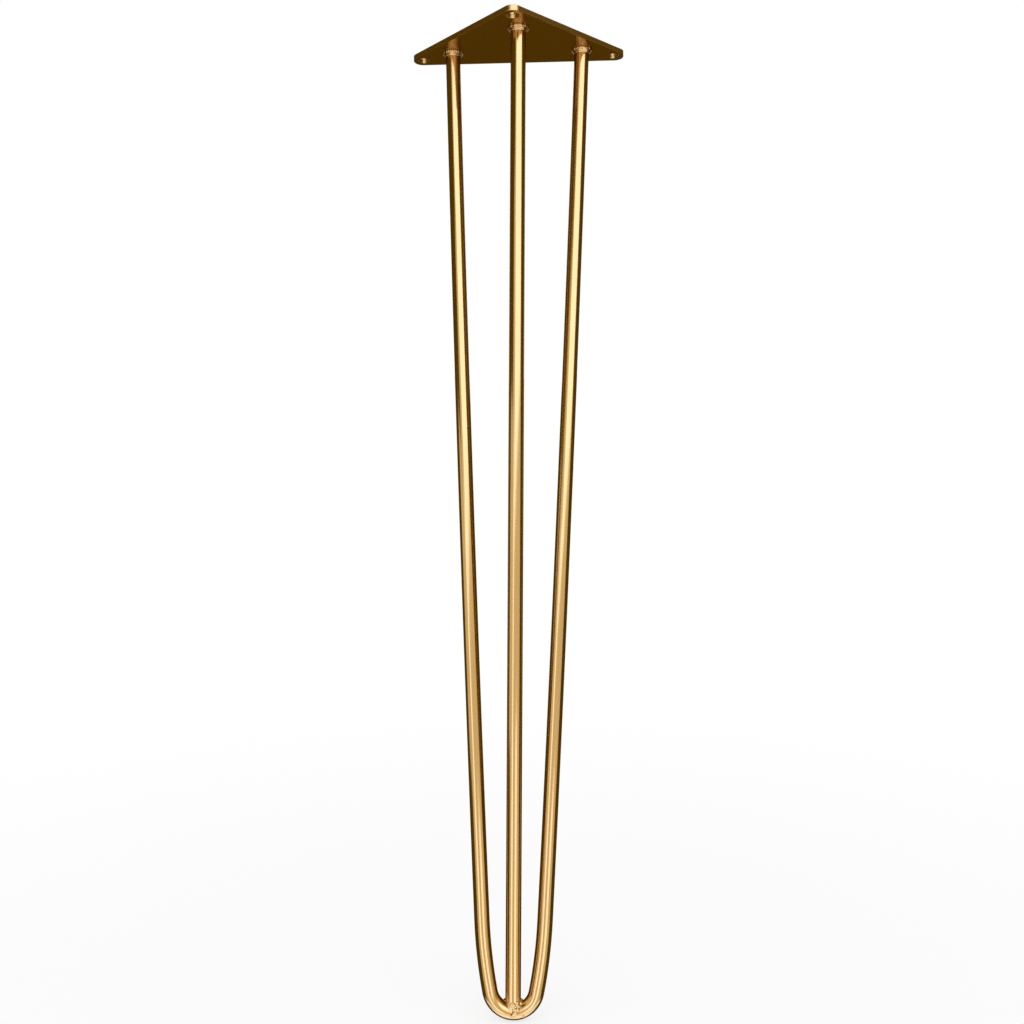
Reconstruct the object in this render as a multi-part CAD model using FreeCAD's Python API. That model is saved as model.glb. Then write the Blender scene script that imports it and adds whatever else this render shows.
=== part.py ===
"""Hairpin table leg: a triangular plate, a bent hairpin bar, a third bar and their welds.

Millimetres. The origin is the middle of the plate's upper face, the one that meets the table.
Z points up, and the plate's square corner points along -Y. The leg hangs down from the plate.
"""
import FreeCAD
import Part
import math
import os

from FreeCAD import Vector

# Leg
leg_height = 711.0
rod_diameter = 11.0

# Mounting plate, a right-angled triangle whose long edge is at the back
plate_long_edge = 182.0
plate_thickness = 4.0
corner_radius = 7.0
edge_break = 0.4

# Screw holes, countersunk from below, measured from the plate's back edge, its ends and its sharp corner
hole_diameter = 5.2
countersink_diameter = 9.0
back_hole_inset = 8.0
end_hole_inset = 18.0
apex_hole_inset = 11.0

# Hairpin bar: its arms from the plate's ends and back edge, and its foot in front of its arms
arm_inset = 42.0
arm_setback = 21.0
foot_reach = 69.0

# Its run from the foot up: a tight bend that stops short of a half turn, a wide shoulder and a bowed arm
bend_radius = 16.8
bend_short_by = 11.0
shoulder_radius = 350.0
arm_bow = 1.4
arm_straight_end = 14.0

# Third bar, from the plate's sharp corner; its top is welded a little to the right of the middle
centre_rod_inset = 30.0
centre_rod_shift = 3.0
cope_tip_trim = 1.0

# Fillet weld round the top of each rod: its reach along the rod and the plate
weld_leg = 2.4
weld_lip = 0.5
bead_offset = 0.8

# Weld beads, each a short tapered ripple that overlaps the next
bead_radius = 2.0
bead_taper = 0.72
bead_overlap = 1.3
bead_pitch = 3.8
bead_variation = 0.12
bead_variation_step = 2.4
bead_sides = 8
saddle_steps = 32

# Places worked out from the sizes above
rod_radius = rod_diameter / 2
half_edge = plate_long_edge / 2
# A rounded square corner falls short of the sharp one by this share of its radius
corner_shortfall = math.sqrt(2) - 1
plate_depth = half_edge - corner_radius * corner_shortfall
back_edge_y = plate_depth / 2
sharp_corner_y = back_edge_y - half_edge
underside_z = -plate_thickness
arm_x = half_edge - arm_inset
arm_y = back_edge_y - arm_setback
centre_rod_y = sharp_corner_y + centre_rod_inset
foot = Vector(0, arm_y - foot_reach, rod_radius - leg_height)


def along(start, end):
    """The unit vector from one point to another."""
    return (end - start).normalize()


def above_underside():
    """A block that holds everything above the plate's underside near the rods."""
    block = Part.makeBox(plate_long_edge, plate_long_edge, plate_thickness + rod_diameter)
    block.translate(Vector(-half_edge, -half_edge, underside_z))
    return block


def bar_between(start, end):
    """A round bar of the leg's diameter between two points."""
    return Part.makeCylinder(rod_radius, start.distanceToPoint(end), start, end - start)


def countersunk_hole(x, y):
    """The space of one screw hole: a drilled hole and its cone on the underside."""
    hole_radius = hole_diameter / 2
    cone_radius = countersink_diameter / 2
    drill = Part.makeCylinder(hole_radius, plate_thickness, Vector(x, y, underside_z))
    cone = Part.makeCone(cone_radius, hole_radius, cone_radius - hole_radius, Vector(x, y, underside_z))
    return drill.fuse(cone)


def make_plate():
    """The triangular plate with rounded corners, broken edges and four screw holes."""
    corners = [
        Vector(-half_edge, back_edge_y, underside_z),
        Vector(half_edge, back_edge_y, underside_z),
        Vector(0, sharp_corner_y, underside_z),
    ]
    outline = Part.makePolygon(corners + corners[:1])
    slab = Part.Face(outline).extrude(Vector(0, 0, plate_thickness))
    uprights = [edge for edge in slab.Edges if edge.BoundBox.ZLength > plate_thickness / 2]
    slab = slab.makeFillet(corner_radius, uprights)
    rims = [edge for edge in slab.Edges if edge.BoundBox.ZLength < plate_thickness / 2]
    slab = slab.makeChamfer(edge_break, rims)
    end_hole_x = half_edge - end_hole_inset
    back_hole_y = back_edge_y - back_hole_inset
    hole_places = [
        (-end_hole_x, back_hole_y),
        (end_hole_x, back_hole_y),
        (0, back_hole_y),
        (0, sharp_corner_y + apex_hole_inset),
    ]
    for x, y in hole_places:
        slab = slab.cut(countersunk_hole(x, y))
    return slab


class HairpinPath:
    """The centre line of the hairpin in its own sloping plane: across along X, down towards the foot."""

    def __init__(self):
        self.top = Vector(0, arm_y, underside_z)
        self.down = along(self.top, foot)
        self.bend_centre = Vector(0, self.top.distanceToPoint(foot) - bend_radius, 0)
        self.arm_top = Vector(arm_x, 0, 0)
        stop = math.radians(bend_short_by)
        stop_direction = Vector(math.cos(stop), math.sin(stop), 0)
        self.bend_end = self.bend_centre + stop_direction * bend_radius
        self.shoulder_centre = self.bend_end - stop_direction * shoulder_radius
        self.find_arm_circle()

    def find_arm_circle(self):
        """The large circle of the right arm: through its top, and tangent to the shoulder at its end."""
        chord = self.arm_top.distanceToPoint(self.bend_centre)
        self.arm_radius = chord * chord / (8 * arm_bow) + arm_bow / 2
        reach = self.arm_top.distanceToPoint(self.shoulder_centre)
        inner = self.arm_radius - shoulder_radius
        upward = along(self.shoulder_centre, self.arm_top)
        inward = Vector(-upward.y, upward.x, 0)
        if inward.x > 0:
            inward = inward * -1
        climb = (reach * reach + inner * inner - self.arm_radius * self.arm_radius) / (2 * reach)
        drift = math.sqrt(inner * inner - climb * climb)
        self.arm_centre = self.shoulder_centre + upward * climb + inward * drift

    def on_arm_circle(self, direction):
        """The point of the arm's circle in a direction from its centre."""
        return self.arm_centre + direction * self.arm_radius

    def on_shoulder(self, direction):
        """The point of the shoulder's circle in a direction from its centre."""
        return self.shoulder_centre + direction * shoulder_radius

    def place(self, flat, side=1):
        """A point of the flat path put on the leg, on the right side or mirrored to the left."""
        return self.top + Vector(side * flat.x, 0, 0) + self.down * flat.y

    def wire(self):
        """Both arms, shoulders and the bend, with the straight ends run on past the plate's underside."""
        from_centre = along(self.arm_centre, self.arm_top)
        upward = Vector(from_centre.y, -from_centre.x, 0)
        bow_start = self.arm_top - upward * arm_straight_end
        bow_start = self.on_arm_circle(along(self.arm_centre, bow_start))
        bow_end = self.on_arm_circle(along(self.arm_centre, self.shoulder_centre))
        bow_middle = self.on_arm_circle(along(self.arm_centre, (bow_start + bow_end) / 2))
        shoulder_middle = self.on_shoulder(along(self.shoulder_centre, (bow_end + self.bend_end) / 2))
        end_direction = along(self.arm_centre, bow_start)
        end_direction = Vector(end_direction.y, -end_direction.x, 0)
        tip = bow_start + end_direction * (arm_straight_end + rod_radius)
        edges = {}
        for side in (-1, 1):
            bow = [self.place(point, side) for point in (bow_start, bow_middle, bow_end)]
            shoulder = [self.place(point, side) for point in (bow_end, shoulder_middle, self.bend_end)]
            straight = Part.makeLine(self.place(tip, side), bow[0])
            edges[side] = [straight, Part.Arc(*bow).toShape(), Part.Arc(*shoulder).toShape()]
        bend = Part.Arc(self.place(self.bend_end, -1), foot, self.place(self.bend_end, 1)).toShape()
        return Part.Wire(edges[-1] + [bend] + edges[1][::-1])


def make_hairpin(path):
    """The bent bar, with its two ends cut flush with the plate's underside."""
    wire = path.wire()
    start = wire.Edges[0].valueAt(wire.Edges[0].FirstParameter)
    facing = wire.Edges[0].tangentAt(wire.Edges[0].FirstParameter)
    section = Part.Face(Part.Wire(Part.makeCircle(rod_radius, start, facing)))
    return wire.makePipe(section).cut(above_underside())


def make_centre_rod(hairpin):
    """The third bar, from the plate down to a saddle over the bend."""
    top = Vector(centre_rod_shift, centre_rod_y, underside_z)
    upward = along(foot, top)
    bar = bar_between(foot + upward * cope_tip_trim, top + upward * rod_radius)
    return bar.cut(above_underside()).cut(hairpin)


def bead_outline(centre, forward, radius):
    """The many-sided edge of one weld ripple, square to the run of the weld."""
    start = forward.cross(Vector(0, 0, 1)).normalize() * radius
    corners = []
    for side in range(bead_sides):
        turn = FreeCAD.Rotation(forward, 360.0 * side / bead_sides)
        corners.append(centre + turn.multVec(start))
    return Part.makePolygon(corners + corners[:1])


def bead_loop(seam):
    """Overlapping weld ripples all along a closed line, uneven as a hand weld is."""
    bead_count = round(seam.Length / bead_pitch)
    places = seam.discretize(bead_count + 1)
    beads = []
    for count in range(bead_count):
        place = places[count]
        step = places[count + 1] - place
        forward = Vector(step).normalize()
        radius = bead_radius * (1 + bead_variation * math.sin(bead_variation_step * count))
        end = place + step * bead_overlap
        outlines = [
            bead_outline(place, forward, radius * bead_taper),
            bead_outline(end, forward, radius),
        ]
        beads.append(Part.makeLoft(outlines, True, True))
    return beads[0].fuse(beads[1:])


def make_plate_weld(x, y, rod):
    """The fillet weld that runs round one rod under the plate."""
    rod_top = Vector(x, y, underside_z)
    down = Vector(0, 0, -1)
    base = Part.makeCone(rod_radius + weld_leg, rod_radius + weld_lip, weld_leg, rod_top, down)
    seam = Part.makeCircle(rod_radius + bead_offset, rod_top + down * bead_offset)
    weld = base.fuse(bead_loop(seam))
    return weld.cut(above_underside()).cut(rod)


def saddle_point(path, turn):
    """The point where the third bar's side meets the bend, at a turn round the bar."""
    across = rod_radius * math.cos(turn)
    forward = rod_radius * math.sin(turn)
    reach = bend_radius - math.sqrt(max(rod_radius * rod_radius - forward * forward, 0))
    drop = math.sqrt(reach * reach - across * across)
    flat = Vector(across, path.bend_centre.y + drop, 0)
    return path.place(flat) + Vector(0, forward, 0)


def make_foot_weld(path, hairpin, centre_rod):
    """The saddle of weld beads between the third bar and the bend."""
    turns = [2 * math.pi * step / saddle_steps for step in range(saddle_steps)]
    places = [saddle_point(path, turn) for turn in turns]
    seam = Part.makePolygon(places + places[:1])
    return bead_loop(seam).cut(hairpin).cut(centre_rod)


def make_leg():
    """Every piece of the leg, by name."""
    path = HairpinPath()
    hairpin = make_hairpin(path)
    centre_rod = make_centre_rod(hairpin)
    right_weld = make_plate_weld(arm_x, arm_y, hairpin)
    return {
        "mounting_plate": make_plate(),
        "hairpin_rod": hairpin,
        "centre_rod": centre_rod,
        "left_rod_weld": right_weld.mirror(Vector(0, 0, 0), Vector(1, 0, 0)),
        "right_rod_weld": right_weld,
        "centre_rod_weld": make_plate_weld(centre_rod_shift, centre_rod_y, centre_rod),
        "foot_weld": make_foot_weld(path, hairpin, centre_rod),
    }


os.makedirs("parts", exist_ok=True)
for name, shape in make_leg().items():
    box = shape.BoundBox
    print(name, "solids", len(shape.Solids), "valid", shape.isValid(), "volume", round(shape.Volume, 1),
          "Z", round(box.ZMin, 2), round(box.ZMax, 2))
    shape.exportStep("parts/" + name + ".step")
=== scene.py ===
# %% [markdown]
# # A gold hairpin table leg
#
# A hairpin leg is a length of steel bar, bent back on itself like a hairpin, and welded under a
# small steel plate that screws to a table. This one has a third bar down its middle.
#
# The construction model is already there, in metres: the origin is the middle of the plate's
# upper face, Z points up, and the leg hangs below. This lesson gives it its looks. Its round bars
# are made again with fine facets, its welds become molten-looking beads, and everything gets a
# coat of satin gold lacquer, because bright metal is all about curves and reflections.

# %% Load the leg
import math

import bpy
from mathutils import Matrix, Vector


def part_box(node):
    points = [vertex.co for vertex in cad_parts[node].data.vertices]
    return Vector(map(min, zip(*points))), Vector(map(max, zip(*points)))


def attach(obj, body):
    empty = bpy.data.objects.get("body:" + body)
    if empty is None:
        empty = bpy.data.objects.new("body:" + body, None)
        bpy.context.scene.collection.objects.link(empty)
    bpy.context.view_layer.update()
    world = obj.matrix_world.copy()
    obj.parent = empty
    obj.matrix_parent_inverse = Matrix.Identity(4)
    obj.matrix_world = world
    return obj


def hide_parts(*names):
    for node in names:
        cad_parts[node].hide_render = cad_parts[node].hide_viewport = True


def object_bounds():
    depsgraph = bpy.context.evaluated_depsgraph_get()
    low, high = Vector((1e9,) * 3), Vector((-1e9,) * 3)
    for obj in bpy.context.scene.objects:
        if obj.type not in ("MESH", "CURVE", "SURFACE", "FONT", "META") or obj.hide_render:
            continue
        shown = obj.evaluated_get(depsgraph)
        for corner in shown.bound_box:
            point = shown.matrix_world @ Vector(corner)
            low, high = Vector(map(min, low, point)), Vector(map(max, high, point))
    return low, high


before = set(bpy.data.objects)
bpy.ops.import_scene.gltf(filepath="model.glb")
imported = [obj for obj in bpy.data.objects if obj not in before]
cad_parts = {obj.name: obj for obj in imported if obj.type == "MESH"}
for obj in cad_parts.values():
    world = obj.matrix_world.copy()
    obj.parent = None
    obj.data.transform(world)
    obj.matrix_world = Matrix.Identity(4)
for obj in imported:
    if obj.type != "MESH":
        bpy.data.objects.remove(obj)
cad_low, cad_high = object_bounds()
print("pieces in the frame:", sorted(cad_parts))

# %% [markdown]
# ## Sizes
#
# A maker works from a few sizes: the bar, the bend, and where the bars meet the plate. The plate's
# faces and the leg's lowest point are read from the frame. What a box can't tell, such as a radius
# or an inset from the plate's edge, is written here.

# %% Sizes of the leg
MM = 0.001

plate_low, plate_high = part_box("mounting_plate")
underside_z = plate_low.z
back_edge_y = plate_high.y

rod_radius = 5.5 * MM
bend_radius = 16.8 * MM
bend_short_by = math.radians(11)
shoulder_radius = 350 * MM
arm_bow = 1.4 * MM
arm_straight_end = 14 * MM
corner_radius = 7 * MM
plate_long_edge = 182 * MM
arm_inset = 42 * MM
arm_setback = 21 * MM
centre_inset = 30 * MM
centre_shift = 3 * MM
foot_reach = 69 * MM

half_edge = plate_long_edge / 2
sharp_corner_y = back_edge_y - half_edge
arm_place = Vector((half_edge - arm_inset, back_edge_y - arm_setback, underside_z))
centre_place = Vector((centre_shift, sharp_corner_y + centre_inset, underside_z))
foot = Vector((0, arm_place.y - foot_reach, cad_low.z + rod_radius))
print("bar", 2 * rod_radius / MM, "mm, foot at", [round(c / MM, 2) for c in foot])

# %% [markdown]
# ## Small helpers
#
# Operators act on what is selected, so each step starts from a clean selection. `start_piece`
# names the new primitive, and `edit` and `stop_editing` step in and out of edit mode.

# %% Helpers for modelling


def only(piece):
    """Selects one object and nothing else."""
    bpy.ops.object.select_all(action="DESELECT")
    piece.select_set(True)
    bpy.context.view_layer.objects.active = piece


def start_piece(name):
    """Names the primitive that was just added and keeps it alone selected."""
    piece = bpy.context.object
    piece.name = name
    piece.data.name = name
    only(piece)
    return piece


def edit(piece):
    """Opens a piece in edit mode with all of it selected."""
    only(piece)
    bpy.ops.object.mode_set(mode="EDIT")
    bpy.ops.mesh.select_all(action="SELECT")


def stop_editing():
    """Goes back to object mode."""
    bpy.ops.object.mode_set(mode="OBJECT")


def settle(piece):
    """Writes a piece's place, turn and scale into its mesh."""
    only(piece)
    bpy.ops.object.transform_apply(location=True, rotation=True, scale=True)


def join(pieces, name):
    """Makes several objects one."""
    only(pieces[0])
    for piece in pieces[1:]:
        piece.select_set(True)
    bpy.ops.object.join()
    return start_piece(name)


def apply_modifier(piece, kind, **settings):
    """Adds one modifier, sets it and applies it."""
    only(piece)
    modifier = piece.modifiers.new(kind.title(), kind)
    for setting, value in settings.items():
        setattr(modifier, setting, value)
    bpy.ops.object.modifier_apply(modifier=modifier.name)


def cut_level(piece, height):
    """Cuts off what stands above a height and closes the cut."""
    edit(piece)
    bpy.ops.mesh.bisect(
        plane_co=(0, 0, height), plane_no=(0, 0, 1), use_fill=True, clear_outer=True
    )
    stop_editing()


def outward(piece):
    """Turns every face outward."""
    edit(piece)
    bpy.ops.mesh.normals_make_consistent(inside=False)
    stop_editing()


def shade_by_angle(piece):
    """Shades a piece smooth and leaves its real edges sharp."""
    only(piece)
    bpy.ops.object.shade_smooth_by_angle(angle=math.radians(30))


def report(piece):
    """Prints what was made."""
    size = [round(side / MM, 1) for side in piece.dimensions]
    print(piece.name, "faces", len(piece.data.polygons), "size in mm", size)


# %% [markdown]
# ## The mounting plate
#
# The real plate is cut from 4 mm steel sheet as a square corner with rounded ends. Moving
# vertices or bevelling corners would also give the outline, but the rounding of a sharp corner is
# hard to get truly round that way. Here three round discs stand at the corners and a skin is
# stretched over them: the convex hull of three discs is the plate.

# %% Make the plate's body
corner_facets = 96
half_end_angle = math.radians(45 / 2)
flat_enough = math.radians(0.5)

end_disc_x = half_edge - corner_radius / math.tan(half_end_angle)
disc_places = [
    (0, sharp_corner_y + corner_radius * math.sqrt(2)),
    (-end_disc_x, back_edge_y - corner_radius),
    (end_disc_x, back_edge_y - corner_radius),
]
discs = []
for disc_x, disc_y in disc_places:
    bpy.ops.mesh.primitive_cylinder_add(
        vertices=corner_facets,
        radius=corner_radius,
        depth=-underside_z,
        location=(disc_x, disc_y, underside_z / 2),
    )
    discs.append(start_piece("corner_disc"))
plate = join(discs, "steel_plate")
settle(plate)
edit(plate)
bpy.ops.mesh.convex_hull()
bpy.ops.mesh.dissolve_limited(angle_limit=flat_enough)
stop_editing()
report(plate)

# %% [markdown]
# The screw holes are drilled and then countersunk from below, where the screw heads sit. One
# cutter has the shape of both tools, and one stands at each hole. The thick coat softens every
# edge, so a small bevel runs round the rims and the holes. The normals are weighted by the size of
# the faces, so that the large faces stay flat right up to the bevels.

# %% Drill the screw holes
hole_radius = 2.6 * MM
countersink_radius = 4.5 * MM
cutter_overrun = 0.5 * MM
edge_softness = 0.35 * MM
hole_facets = 64
apex_hole_inset = 11 * MM
end_hole_inset = 18 * MM
back_hole_inset = 8 * MM

hole_places = [(0, sharp_corner_y + apex_hole_inset)]
for hole_x in (end_hole_inset - half_edge, 0, half_edge - end_hole_inset):
    hole_places.append((hole_x, back_edge_y - back_hole_inset))


def screw_cutter(x, y):
    """A solid with the shape of the drill and the countersink."""
    bpy.ops.mesh.primitive_circle_add(
        vertices=hole_facets,
        radius=countersink_radius + cutter_overrun,
        fill_type="NGON",
        location=(x, y, underside_z - cutter_overrun),
    )
    cutter = start_piece("screw_cutter")
    settle(cutter)
    edit(cutter)
    cone_height = countersink_radius - hole_radius + cutter_overrun
    bpy.ops.mesh.extrude_region_move(TRANSFORM_OT_translate={"value": (0, 0, cone_height)})
    narrow = hole_radius / (countersink_radius + cutter_overrun)
    bpy.ops.transform.resize(value=(narrow, narrow, 1), center_override=(x, y, 0))
    rest = -underside_z - cone_height + 2 * cutter_overrun
    bpy.ops.mesh.extrude_region_move(TRANSFORM_OT_translate={"value": (0, 0, rest)})
    stop_editing()
    outward(cutter)
    return cutter


cutters = join([screw_cutter(x, y) for x, y in hole_places], "screw_cutters")
apply_modifier(plate, "BOOLEAN", operation="DIFFERENCE", object=cutters, solver="EXACT")
bpy.data.objects.remove(cutters)
apply_modifier(
    plate,
    "BEVEL",
    width=edge_softness,
    segments=3,
    limit_method="ANGLE",
    angle_limit=math.radians(30),
)
outward(plate)
shade_by_angle(plate)
apply_modifier(plate, "WEIGHTED_NORMAL", keep_sharp=True)
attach(plate, "root")
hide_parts("mounting_plate")
report(plate)

# %% [markdown]
# ## The hairpin bar
#
# A bender holds the bar round a former and pulls both ends, so the path is a tight arc at the foot,
# a wide shoulder where the bar leaves the former, and two long arms with a slight bow. A curve with
# a round bevel would do, but Spin builds the same thing the way the bender does: a ring of vertices
# is swept about the former's centre, then about the far centres of the shoulder and of the arm.
#
# The path is worked out flat first, with `x` across and `down` towards the foot.

# %% Work out the hairpin's path
top_middle = Vector((0, arm_place.y, underside_z))
slope = foot - top_middle
lean = math.atan2(slope.y, -slope.z)
path_length = slope.length
bend_centre = Vector((0, path_length - bend_radius))
bend_stop = Vector((math.cos(bend_short_by), math.sin(bend_short_by)))
shoulder_centre = bend_centre + bend_stop * (bend_radius - shoulder_radius)
arm_top = Vector((arm_place.x, 0))
arm_radius = (arm_top - bend_centre).length ** 2 / (8 * arm_bow) + arm_bow / 2
inner = arm_radius - shoulder_radius
reach = (arm_top - shoulder_centre).length
upward = (arm_top - shoulder_centre).normalized()
inward = Vector((upward.y, -upward.x))
if inward.x > 0:
    inward = -inward
climb = (reach**2 + inner**2 - arm_radius**2) / (2 * reach)
drift = math.sqrt(inner**2 - climb**2)
arm_centre = shoulder_centre + upward * climb + inward * drift


def arm_direction(point):
    """The direction from the arm's far centre to a point of the flat path."""
    return (point - arm_centre).normalized()


top_direction = arm_direction(arm_top)
up_the_arm = Vector((top_direction.y, -top_direction.x))
bow_start = arm_direction(arm_top - up_the_arm * arm_straight_end)
bow_end = arm_direction(shoulder_centre)
shoulder_end = math.atan2(bow_end.y, bow_end.x)
bend_turn = math.pi / 2 - bend_short_by
shoulder_turn = bend_short_by - shoulder_end
bow_turn = shoulder_end - math.atan2(bow_start.y, bow_start.x)
print("lean", round(math.degrees(lean), 2), "degrees, arm bow radius", round(arm_radius, 2), "m")
for part, turned in (("bend", bend_turn), ("shoulder", shoulder_turn), ("bow", bow_turn)):
    print(part, "turns", round(math.degrees(turned), 2), "degrees")

# %% [markdown]
# The ring starts at the lowest point of the foot and climbs the right arm. A Mirror modifier
# makes the left arm, the whole bar is tilted to its lean, and the ends are cut level with the
# plate's underside.

# %% Bend the bar
ring_facets = 64
bend_steps = 36
shoulder_steps = 8
bow_steps = 24


def flat_point(point):
    """A point of the flat path in Blender's upright plane."""
    return Vector((point.x, 0, -point.y))


bpy.ops.mesh.primitive_circle_add(
    vertices=ring_facets,
    radius=rod_radius,
    location=flat_point(Vector((0, path_length))),
    rotation=(0, math.pi / 2, 0),
)
hairpin = start_piece("hairpin_bar")
settle(hairpin)
edit(hairpin)
bpy.ops.mesh.spin(
    steps=bend_steps, angle=bend_turn, center=flat_point(bend_centre), axis=(0, 1, 0)
)
bpy.ops.mesh.spin(
    steps=shoulder_steps, angle=shoulder_turn, center=flat_point(shoulder_centre), axis=(0, 1, 0)
)
bpy.ops.mesh.spin(
    steps=bow_steps, angle=bow_turn, center=flat_point(arm_centre), axis=(0, 1, 0)
)
end_direction = Vector((bow_start.y, -bow_start.x))
end_run = flat_point(end_direction * (arm_straight_end + rod_radius))
bpy.ops.mesh.extrude_edges_move(TRANSFORM_OT_translate={"value": end_run})
bpy.ops.mesh.edge_face_add()
stop_editing()
report(hairpin)
apply_modifier(hairpin, "MIRROR", use_axis=(True, False, False), merge_threshold=0.01 * MM)
outward(hairpin)

# %% Write down where each point lies along the bar


def remember_straight_bar(piece, name, straighten):
    """Stores, on each vertex, where it would be if the bar were straight along Z."""
    places = piece.data.attributes.new(name, "FLOAT_VECTOR", "POINT")
    for vertex, place in zip(piece.data.vertices, places.data):
        place.vector = straighten(vertex.co)


def straighten_hairpin(point):
    """The place of a hairpin vertex on the straight bar, measured up each arm from the foot."""
    side = 1 if point.x > 0 else -1
    flat = Vector((abs(point.x), -point.z))
    from_bend = flat - bend_centre
    from_shoulder = flat - shoulder_centre
    bend_angle = math.atan2(from_bend.y, from_bend.x)
    shoulder_angle = math.atan2(from_shoulder.y, from_shoulder.x)
    along_bar = bend_radius * bend_turn
    if bend_angle > bend_short_by:
        along_bar = bend_radius * (math.pi / 2 - bend_angle)
        across_bar = from_bend.length - bend_radius
    elif shoulder_angle > shoulder_end:
        along_bar += shoulder_radius * (bend_short_by - shoulder_angle)
        across_bar = from_shoulder.length - shoulder_radius
    else:
        shoulder_low = shoulder_centre.y + shoulder_radius * math.sin(shoulder_end)
        along_bar += shoulder_radius * shoulder_turn + shoulder_low - flat.y
        across_bar = (flat - arm_centre).length - arm_radius
    return (across_bar, point.y, side * along_bar)


remember_straight_bar(hairpin, "straight_bar", straighten_hairpin)
hairpin.rotation_euler.x = lean
hairpin.location = top_middle
settle(hairpin)
cut_level(hairpin, underside_z)
shade_by_angle(hairpin)
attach(hairpin, "root")
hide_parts("hairpin_rod")
report(hairpin)

# %% [markdown]
# ## The middle bar
#
# The third bar is straight. Its lower end is coped, which means cut to the shape of the bend, so
# that it sits on it like a saddle. A Boolean with the hairpin cuts exactly that saddle.

# %% Make the middle bar
centre_line = centre_place - foot
bar_turn = centre_line.to_track_quat("Z", "Y").to_euler()
bar_length = centre_line.length + rod_radius
bpy.ops.mesh.primitive_cylinder_add(
    vertices=ring_facets,
    radius=rod_radius,
    depth=bar_length,
    location=(0, 0, bar_length / 2),
)
centre_bar = start_piece("middle_bar")
settle(centre_bar)
remember_straight_bar(centre_bar, "straight_bar", lambda point: point)
centre_bar.rotation_euler = bar_turn
centre_bar.location = foot
settle(centre_bar)
cut_level(centre_bar, underside_z)
apply_modifier(centre_bar, "BOOLEAN", operation="DIFFERENCE", object=hairpin, solver="EXACT")
shade_by_angle(centre_bar)
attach(centre_bar, "root")
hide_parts("centre_rod")
report(centre_bar)

# %% [markdown]
# ## The welds
#
# A welder goes round each joint in small steps, and every step leaves a round ripple that half
# covers the last one. So a weld starts as a ring of balls. Remesh melts them into one skin, and
# Smooth takes the sharp valleys out, as surface tension does. Sculpting would also work, but a ring
# of balls keeps the pitch of the ripples. Each weld is one closed skin whose root is sunk in the
# steel that it joins.
#
# Under the plate a weld swells at both sides of its bar, and at the front it ran down the bar a
# little.

# %% A helper that lays a weld
bead_radius = 1.9 * MM
skin_cell = 0.22 * MM
melt_rounds = 3
uneven_step = 2.4


def lay_weld(name, places, sizes):
    """Melts a run of balls into one weld; sizes gives each ball's radius as a share."""
    balls = []
    for place, size in zip(places, sizes):
        bpy.ops.mesh.primitive_ico_sphere_add(
            subdivisions=3, radius=bead_radius * size, location=place
        )
        balls.append(start_piece("weld_ball"))
    weld = join(balls, name)
    settle(weld)
    apply_modifier(weld, "REMESH", mode="VOXEL", voxel_size=skin_cell)
    apply_modifier(weld, "SMOOTH", factor=0.5, iterations=melt_rounds)
    return weld


def uneven(count, swing):
    """A size near 1 for each ball of a weld; the sine's step keeps it from repeating."""
    return [1 + swing * math.sin(uneven_step * index) for index in range(count)]


def finish_weld(weld, node):
    """Shades a weld smooth and lets it stand for its node; its root stays sunk in the steel."""
    only(weld)
    bpy.ops.object.shade_smooth()
    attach(weld, "root")
    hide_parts(node)
    report(weld)


# %% Weld the three bars to the plate
ring_radius = rod_radius + 0.5 * MM
ring_pitch = 1.45 * MM
ring_drop = 0.8 * MM
ring_size = 0.72
ring_swing = 0.1
side_lump = 0.42
side_lift = 0.9 * MM
side_sharpness = 8
run_down_step = 8
run_down_swing = 0.06
run_down_wave = 0.11
run_down_shift = 9
run_down_rows = [
    # how far below the plate, how far outside the bar, the balls' size, the turn on either side
    (2.2 * MM, 0.35 * MM, 0.62, 60),
    (3.4 * MM, 0.3 * MM, 0.56, 44),
]


def round_bar(turn, radius, height):
    """The step from a bar's top to a point beside it, at a turn, a radius and a height."""
    return Vector((math.cos(turn) * radius, math.sin(turn) * radius, height))


def weld_under_plate(name, node, place, start):
    """A ring of weld round the top of one bar, starting at a turn."""
    count = round(2 * math.pi * ring_radius / ring_pitch)
    places = []
    sizes = []
    for index, size in enumerate(uneven(count, ring_swing)):
        turn = start + 2 * math.pi * index / count
        at_side = abs(math.cos(turn)) ** side_sharpness
        places.append(place + round_bar(turn, ring_radius, side_lift * at_side - ring_drop))
        sizes.append(ring_size * size + side_lump * at_side)
    for below, outside, size, reach in run_down_rows:
        for heading in range(-reach, reach + 1, run_down_step):
            turn = math.radians(heading - 90)
            places.append(place + round_bar(turn, rod_radius + outside, -below))
            wave = math.sin(run_down_wave * heading + run_down_shift * start)
            sizes.append(size * (1 + run_down_swing * wave))
    weld = lay_weld(name, places, sizes)
    finish_weld(weld, node)
    return weld


left_place = Vector((-arm_place.x, arm_place.y, arm_place.z))
left_weld = weld_under_plate("left_arm_weld", "left_rod_weld", left_place, 0.2)
right_weld = weld_under_plate("right_arm_weld", "right_rod_weld", arm_place, 1.1)
middle_weld = weld_under_plate("middle_bar_weld", "centre_rod_weld", centre_place, 0.5)

# %% [markdown]
# At the foot the middle bar sits astride the bend, so the seam is a saddle: high at the sides,
# low at the front and the back. The same balls follow it. The front was gone over again by hand:
# a lumpy patch fills the V between the two sides of the seam, and a drop of spatter sits on the
# bend. On the left the weld never closed the seam, so balls are left out there.

# %% Weld the foot


def hairpin_point(flat):
    """A point of the hairpin's flat path, in its place on the leg."""
    down = slope.normalized()
    return top_middle + Vector((flat.x, 0, 0)) + down * flat.y


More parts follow.
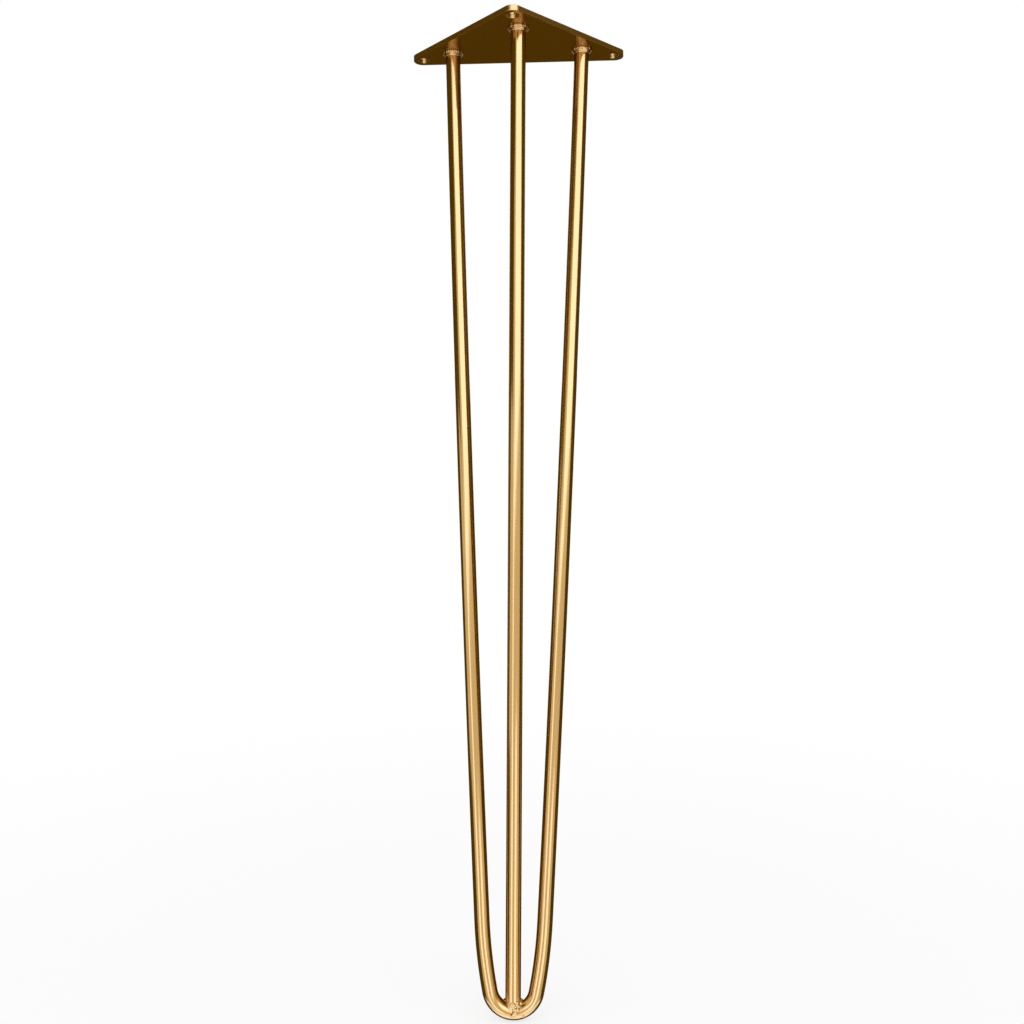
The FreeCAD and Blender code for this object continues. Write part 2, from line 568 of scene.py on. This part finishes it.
def saddle_point(turn):
    """The point where the middle bar's side meets the bend, at a turn round the bar."""
    across = rod_radius * math.cos(turn)
    forward = rod_radius * math.sin(turn)
    sweep = bend_radius - math.sqrt(max(rod_radius**2 - forward**2, 0))
    drop = math.sqrt(sweep**2 - across**2)
    return hairpin_point(Vector((across, bend_centre.y + drop))) + Vector((0, forward, 0))


# The balls are counted round the bar from its right side by way of the back. The seam is open from
# the left side nearly to the front.
saddle_balls = 20
saddle_swing = 0.12
open_first, open_last = 10, 14
saddle_places = []
saddle_sizes = []
for index, size in enumerate(uneven(saddle_balls, saddle_swing)):
    if index < open_first or index > open_last:
        saddle_places.append(saddle_point(2 * math.pi * index / saddle_balls))
        saddle_sizes.append(size)

lump_sunk = 0.45 * MM
lump_size = 0.62
lump_swing = 0.14
# The pitch, the wander and the rows of the patch are in mm.
lump_pitch = 1.55
lump_wander = 0.45
patch_rows = [
    # the height of a row of lumps and its first and last place across
    (2.4, 1.3, 1.9),
    (3.8, 0.5, 2.2),
    (5.2, -0.6, 3.2),
    (6.6, -1.5, 4.0),
    (8.0, -2.5, 4.3),
]
# Two sines, stepped by a row's height and a lump's number, keep the patch from looking even.
wander_steps = (5.1, 3.7)
swing_steps = (2.3, 4.4)


def bar_front(across, height):
    """A point just under the middle bar's front face, at a height above the lowest seam."""
    depth = math.sqrt(rod_radius**2 - across**2) - lump_sunk
    return foot + centre_line.normalized() * height + Vector((across, -depth, 0))


for height, first, last in patch_rows:
    lumps = round((last - first) / lump_pitch) + 1
    for lump in range(lumps):
        across = first + (last - first) * lump / max(lumps - 1, 1)
        wander = lump_wander * math.sin(wander_steps[0] * height + wander_steps[1] * lump)
        swing = lump_swing * math.sin(swing_steps[0] * height + swing_steps[1] * lump)
        saddle_places.append(bar_front((across + wander) * MM, (height + wander) * MM))
        saddle_sizes.append(lump_size + swing)

spatter_across = 7.6 * MM
spatter_below = 2.3 * MM
spatter_sunk = 0.1 * MM
spatter_size = 0.42
spatter_drop = math.sqrt(bend_radius**2 - spatter_across**2) + spatter_below
spatter = hairpin_point(Vector((spatter_across, bend_centre.y + spatter_drop)))
spatter.y -= math.sqrt(rod_radius**2 - spatter_below**2) - spatter_sunk
saddle_places.append(spatter)
saddle_sizes.append(spatter_size)

foot_weld = lay_weld("foot_saddle_weld", saddle_places, saddle_sizes)
finish_weld(foot_weld, "foot_weld")

# %% [markdown]
# ## Gold lacquer
#
# The steel is coated with satin gold lacquer: metal flakes in a clear varnish. That gives the eye
# three things: a metal reflection tinted gold, a thin clear gloss over it, and a slight unevenness
# that shows only where a reflection bends.

# %% Helpers for materials


def linear(hex_colour):
    """The linear colour that Blender works in, from an sRGB hex value."""
    channels = []
    for start in (1, 3, 5):
        value = int(hex_colour[start : start + 2], 16) / 255
        channels.append(value / 12.92 if value <= 0.04045 else ((value + 0.055) / 1.055) ** 2.4)
    return (*channels, 1)


def add_node(tree, kind, inputs=None, **settings):
    """Adds a node, sets it, and sets or links its inputs."""
    node = tree.nodes.new(kind)
    for setting, value in settings.items():
        setattr(node, setting, value)
    for name, value in (inputs or {}).items():
        if isinstance(value, bpy.types.NodeSocket):
            tree.links.new(value, node.inputs[name])
        else:
            node.inputs[name].default_value = value
    return node


def new_material(name):
    """An empty node material and its tree."""
    material = bpy.data.materials.new(name)
    material.use_nodes = True
    material.node_tree.nodes.clear()
    return material, material.node_tree


def give(piece, material):
    """Puts one material on a piece."""
    piece.data.materials.clear()
    piece.data.materials.append(material)


# %% The gold lacquer
gold = "#C8A05A"
gold_deep = "#C1964E"
gold_grazing = "#8A5A20"
flake_size = 0.7 * MM
patch_size = 45 * MM
drawn_line = 0.5 * MM
drawn_length = 60 * MM
bump_strength = 0.2
bump_depth = 0.02 * MM


def gold_lacquer(name, roughness, drawn=False):
    """Satin gold lacquer; on a drawn bar, fine lines run along it."""
    material, tree = new_material(name)
    if drawn:
        straight = add_node(tree, "ShaderNodeAttribute", attribute_name="straight_bar")
        place = straight.outputs["Vector"]
    else:
        place = add_node(tree, "ShaderNodeTexCoord").outputs["Object"]
    patches = add_node(
        tree, "ShaderNodeTexNoise", {"Vector": place, "Scale": 1 / patch_size, "Detail": 2.0}
    )
    colour = add_node(
        tree,
        "ShaderNodeMix",
        {"Factor": patches.outputs["Fac"], "A": linear(gold), "B": linear(gold_deep)},
        data_type="RGBA",
    )
    peel = add_node(
        tree, "ShaderNodeTexNoise", {"Vector": place, "Scale": 1 / flake_size, "Detail": 3.0}
    )
    height = peel.outputs["Fac"]
    if drawn:
        stretch = (1 / drawn_line, 1 / drawn_line, 1 / drawn_length)
        lines_place = add_node(
            tree, "ShaderNodeVectorMath", {0: place, 1: stretch}, operation="MULTIPLY"
        )
        lines = add_node(
            tree,
            "ShaderNodeTexNoise",
            {"Vector": lines_place.outputs["Vector"], "Scale": 1.0, "Detail": 3.0},
        )
        mixed = add_node(
            tree,
            "ShaderNodeMix",
            {"Factor": 0.5, "A": height, "B": lines.outputs["Fac"]},
            data_type="FLOAT",
        )
        height = mixed.outputs["Result"]
    bump = add_node(
        tree,
        "ShaderNodeBump",
        {"Height": height, "Strength": bump_strength, "Distance": bump_depth},
    )
    gloss = add_node(
        tree,
        "ShaderNodeMapRange",
        {"Value": patches.outputs["Fac"], "To Min": roughness - 0.03, "To Max": roughness + 0.04},
    )
    shader = add_node(
        tree,
        "ShaderNodeBsdfPrincipled",
        {
            "Base Color": colour.outputs["Result"],
            "Metallic": 1.0,
            "Roughness": gloss.outputs["Result"],
            "Normal": bump.outputs["Normal"],
            "Specular Tint": linear(gold_grazing),
            "Coat Weight": 1.0,
            "Coat Roughness": 0.08,
            "Coat IOR": 1.5,
        },
    )
    add_node(tree, "ShaderNodeOutputMaterial", {"Surface": shader.outputs["BSDF"]})
    print("material", name)
    return material


bar_gold = gold_lacquer("gold lacquer on drawn steel bar", 0.16, drawn=True)
plate_gold = gold_lacquer("gold lacquer on cut steel sheet", 0.3)
weld_gold = gold_lacquer("gold lacquer over weld metal", 0.24)
give(hairpin, bar_gold)
give(centre_bar, bar_gold)
give(plate, plate_gold)
for weld in (left_weld, right_weld, middle_weld, foot_weld):
    give(weld, weld_gold)

# %% [markdown]
# ## Floor, light and surroundings
#
# Bright metal shows the room it stands in, so the light is built for its reflections. The floor is
# matte white. Near the leg a quarter of what is seen is lit paint, which holds the shadow, and
# further out it turns into an even glow, so that it runs into the white world without a line.

# %% The floor
floor_z = foot.z - rod_radius
floor_size = 12
paint_ends = 1.1
least_glow = 0.75


def background_share(tree):
    """1 for the rays that should meet a plain white background, 0 for the rest."""
    path = add_node(tree, "ShaderNodeLightPath")
    mirrored = add_node(
        tree,
        "ShaderNodeMath",
        {0: path.outputs["Is Glossy Ray"], 1: path.outputs["Is Transmission Ray"]},
        operation="MAXIMUM",
    )
    seen = add_node(
        tree,
        "ShaderNodeMath",
        {0: path.outputs["Is Camera Ray"], 1: mirrored.outputs["Value"]},
        operation="MAXIMUM",
    )
    return seen.outputs["Value"]


def floor_paint():
    """Matte white paint that glows more the further it is from the leg."""
    material, tree = new_material("matte white paint")
    paint = add_node(tree, "ShaderNodeBsdfDiffuse", {"Color": linear("#FAFAFA")})
    glow = add_node(tree, "ShaderNodeEmission", {"Color": linear("#FFFFFF"), "Strength": 1.0})
    place = add_node(tree, "ShaderNodeTexCoord")
    distance = add_node(
        tree, "ShaderNodeVectorMath", {0: place.outputs["Object"]}, operation="LENGTH"
    )
    fade = add_node(
        tree,
        "ShaderNodeMapRange",
        {
            "Value": distance.outputs["Value"],
            "From Max": paint_ends,
            "To Min": least_glow,
            "To Max": 1.0,
        },
        interpolation_type="SMOOTHSTEP",
    )
    share = add_node(
        tree,
        "ShaderNodeMath",
        {0: background_share(tree), 1: fade.outputs["Result"]},
        operation="MULTIPLY",
    )
    mixed = add_node(
        tree,
        "ShaderNodeMixShader",
        {0: share.outputs["Value"], 1: paint.outputs["BSDF"], 2: glow.outputs["Emission"]},
    )
    add_node(tree, "ShaderNodeOutputMaterial", {"Surface": mixed.outputs["Shader"]})
    return material


bpy.ops.mesh.primitive_plane_add(size=floor_size, location=(0, 0, floor_z))
floor = start_piece("floor")
give(floor, floor_paint())
print("floor at", round(floor_z / MM, 1), "mm")

# %% The world
world = bpy.data.worlds.new("studio")
bpy.context.scene.world = world
world.use_nodes = True
world.node_tree.nodes.clear()
room_light = add_node(
    world.node_tree, "ShaderNodeBackground", {"Color": linear("#FFFFFF"), "Strength": 0.9}
)
white = add_node(
    world.node_tree, "ShaderNodeBackground", {"Color": linear("#FFFFFF"), "Strength": 1.0}
)
world_mix = add_node(
    world.node_tree,
    "ShaderNodeMixShader",
    {
        0: background_share(world.node_tree),
        1: room_light.outputs["Background"],
        2: white.outputs["Background"],
    },
)
add_node(world.node_tree, "ShaderNodeOutputWorld", {"Surface": world_mix.outputs["Shader"]})

# %% [markdown]
# A round bar shows nearly the whole room, squeezed across its width: what stands beside it ends up
# at the bar's edges. A dark olive cloth stands at both sides and lies on the floor there, so each
# bar gets its dark edges. Behind the leg it is low, because only the plate's underside looks down
# at it. A small disc of it under the foot is a painted shadow: it stands in for the foot's contact
# shadow on the floor, so that the bend mirrors a dark lower edge. The cloth is seen by reflections
# and by nothing else. It is made as a round tub about the foot, and the faces where it is open are
# deleted.

# %% The dark cloth
cloth_radius = 1.0
# The disc under the foot is a painted shadow, which the bend mirrors as the floor's contact shadow.
painted_shadow_radius = 0.009
cloth_mat = 0.35
cloth_facets = 180
cloth_back = 150
low_wall = -0.15
cloth_bands = [
    # the highest z of a band of the wall, and the headings in degrees between which it is open
    (low_wall, -84, 72),
    (-0.12, -84, 72),
    (0.3, -47, 68),
    (1.4, -35, 63),
]
lying_open = (-62, 72)
cloth_lift = 0.2 * MM

bpy.ops.mesh.primitive_circle_add(
    vertices=cloth_facets,
    radius=painted_shadow_radius,
    fill_type="NGON",
    location=(0, foot.y, floor_z + cloth_lift),
)
cloth = start_piece("dark_cloth_and_painted_foot_shadow")
settle(cloth)
edit(cloth)
for widen in (cloth_mat / painted_shadow_radius, cloth_radius / cloth_mat):
    bpy.ops.mesh.extrude_edges_move()
    bpy.ops.transform.resize(value=(widen, widen, 1), center_override=(0, foot.y, 0))
band_low = floor_z
for band_high, first, last in cloth_bands:
    bpy.ops.mesh.extrude_edges_move(TRANSFORM_OT_translate={"value": (0, 0, band_high - band_low)})
    band_low = band_high
bpy.ops.mesh.select_all(action="DESELECT")
bpy.ops.mesh.select_mode(type="FACE")
stop_editing()


def cloth_is_open(centre):
    """Whether the cloth leaves a place free, by its height and its heading from the foot."""
    heading = math.degrees(math.atan2(centre.x, foot.y - centre.y))
    distance = math.hypot(centre.x, foot.y - centre.y)
    # The disc under the foot is a painted shadow and always stays.
    if distance < painted_shadow_radius:
        return False
    if abs(heading) > cloth_back:
        return centre.z > low_wall
    if centre.z < floor_z + 2 * cloth_lift:
        return lying_open[0] < heading < lying_open[1]
    for band_high, first, last in cloth_bands:
        if centre.z < band_high:
            return first < heading < last
    return False


for face in cloth.data.polygons:
    face.select = cloth_is_open(face.center)
bpy.ops.object.mode_set(mode="EDIT")
bpy.ops.mesh.delete(type="FACE")
bpy.ops.mesh.select_mode(type="VERT")
stop_editing()


def glowing(name, colour, strength):
    """A material that shines evenly in its own colour."""
    material, tree = new_material(name)
    glow = add_node(tree, "ShaderNodeEmission", {"Color": linear(colour), "Strength": strength})
    add_node(tree, "ShaderNodeOutputMaterial", {"Surface": glow.outputs["Emission"]})
    return material


def only_mirrored(piece):
    """Hides a piece of the set from everything but reflections."""
    piece.visible_camera = False
    piece.visible_diffuse = False
    piece.visible_shadow = False
    piece.visible_transmission = False


# The cloth glows dimly in its olive colour, and its disc under the foot is a painted shadow.
give(cloth, glowing("dark olive cloth and painted foot shadow", "#564806", 1.35))
only_mirrored(cloth)
print("cloth faces", len(cloth.data.polygons))

# %% [markdown]
# The lamps are soft panels of cool daylight. A large window high up in front gives the bars their
# broad cream band, and a narrow panel beside it draws a fine bright line lower down. A panel's
# power is worked out from the brightness that it adds where it is mirrored, because that is what
# the eye compares. The world already lights the floor evenly, so the panels leave it alone.

# %% The lamps
daylight = "#B0C6FF"


def standing_panel(name, heading, distance, bottom, top, width, brightness, roll=0):
    """A rectangular lamp that stands at a heading from the front and faces the leg."""
    turn = math.radians(heading)
    height = top - bottom
    place = Vector((math.sin(turn) * distance, -math.cos(turn) * distance, (bottom + top) / 2))
    bpy.ops.object.light_add(type="AREA", location=place)
    lamp = bpy.context.object
    lamp.name = name
    facing = Vector((place.x, place.y, 0)).to_track_quat("Z", "Y").to_matrix()
    lamp.rotation_euler = (facing @ Matrix.Rotation(math.radians(roll), 3, "Z")).to_euler()
    lamp.data.shape = "RECTANGLE"
    lamp.data.size = width
    lamp.data.size_y = height
    lamp.data.color = linear(daylight)[:3]
    lamp.data.energy = brightness * math.pi * width * height
    lamp.visible_camera = False
    lamp.visible_diffuse = False
    print("lamp", name, "at", [round(c, 2) for c in place], round(lamp.data.energy, 1), "W")


standing_panel(
    "window", heading=20, distance=1.7, bottom=-0.1, top=1.5, width=2.7, brightness=2.7, roll=9
)
standing_panel(
    "narrow_panel",
    heading=-25,
    distance=1.5,
    bottom=floor_z,
    top=-0.1,
    width=0.42,
    brightness=2.2,
)

# %% [markdown]
# Further down, the bars mirror the floor in front of them. Two wedges of light card lie there and
# carry the bright lines on to the foot. The bend looks down at the floor right before it, so a
# small soft light lies there too. It is an oval that fades towards its rim, with a dimmer ring in
# it, and it stops short of the foot, where the cloth's painted shadow disc gives the bend its dark
# lower edge.

# %% The light cards
card_light = "#D0D8FF"
card_strength = 3.4
card_near = 0.02
card_far = 1.45
card_lift = 0.4 * MM
card_glow = glowing("light card", card_light, card_strength)


def light_card(name, first, last):
    """A wedge of glowing card that lies on the floor between two headings from the foot."""
    bpy.ops.mesh.primitive_plane_add(size=1)
    card = start_piece(name)
    corners = [(card_near, first), (card_near, last), (card_far, first), (card_far, last)]
    for vertex, (distance, heading) in zip(card.data.vertices, corners):
        turn = math.radians(heading)
        x = distance * math.sin(turn)
        y = foot.y - distance * math.cos(turn)
        vertex.co = (x, y, floor_z + card_lift)
    give(card, card_glow)
    only_mirrored(card)
    print("card", name, "from", first, "to", last, "degrees")


light_card("left_light_card", -35, -15)
light_card("right_light_card", 13, 39)

# %% The soft light before the foot
foot_light_wide = 48 * MM
foot_light_deep = 24 * MM
foot_light_start = 4.8 * MM
foot_light_lift = 0.6 * MM
foot_light_strength = 2.9
foot_light_facets = 96
foot_light_steps = [
    # share of the way from the rim to the middle, and the share of light there
    (0.0, 0.0),
    (0.22, 0.85),
    (0.4, 0.45),
    (0.6, 1.0),
]


def soft_light():
    """A glow that thins out to nothing towards the rim of a round piece of radius 1."""
    material, tree = new_material("soft light")
    place = add_node(tree, "ShaderNodeTexCoord")
    to_middle = add_node(
        tree,
        "ShaderNodeTexGradient",
        {"Vector": place.outputs["Object"]},
        gradient_type="SPHERICAL",
    )
    share = add_node(tree, "ShaderNodeValToRGB", {"Fac": to_middle.outputs["Fac"]})
    share.color_ramp.interpolation = "EASE"
    stops = share.color_ramp.elements
    while len(stops) < len(foot_light_steps):
        stops.new(0.5)
    for stop, (position, light) in zip(stops, foot_light_steps):
        stop.position = position
        stop.color = (light, light, light, 1)
    clear = add_node(tree, "ShaderNodeBsdfTransparent")
    glow = add_node(
        tree,
        "ShaderNodeEmission",
        {"Color": linear(card_light), "Strength": foot_light_strength},
    )
    mixed = add_node(
        tree,
        "ShaderNodeMixShader",
        {0: share.outputs["Color"], 1: clear.outputs["BSDF"], 2: glow.outputs["Emission"]},
    )
    add_node(tree, "ShaderNodeOutputMaterial", {"Surface": mixed.outputs["Shader"]})
    return material


bpy.ops.mesh.primitive_circle_add(
    vertices=foot_light_facets,
    radius=1,
    fill_type="NGON",
    location=(0, foot.y, floor_z + foot_light_lift),
)
foot_light = start_piece("foot_light")
edit(foot_light)
bpy.ops.mesh.bisect(
    plane_co=(0, foot.y - foot_light_start / foot_light_deep, 0),
    plane_no=(0, 1, 0),
    clear_outer=True,
)
stop_editing()
foot_light.scale = (foot_light_wide, foot_light_deep, 1)
give(foot_light, soft_light())
only_mirrored(foot_light)
print("foot light corners", len(foot_light.data.vertices))

# %% [markdown]
# ## The camera
#
# The photograph was taken from close by and nearly level, at the height of the leg's middle, so the
# plate shows its underside and the floor is seen from above. The place and the lens were found by
# matching the plate's corners and the bars.

# %% Place the camera
camera_place = Vector((40.71, -759.06, -337.53)) * MM
camera_right = Vector((0.998348, 0.057436, -0.001175))
camera_up = Vector((-0.000022, 0.020837, 0.999783))
camera_back = camera_right.cross(camera_up)
focal_length = 35.92
sensor_width = 36

bpy.ops.object.camera_add(location=camera_place)
camera = bpy.context.object
camera.name = "camera"
camera_turn = Matrix((camera_right, camera_up, camera_back)).transposed()
camera.rotation_euler = camera_turn.to_euler()
camera.data.lens = focal_length
camera.data.sensor_width = sensor_width
bpy.context.scene.camera = camera
print("camera at", [round(c, 3) for c in camera.location])

# %% Show colours as they are written
bpy.context.scene.view_settings.view_transform = "Standard"
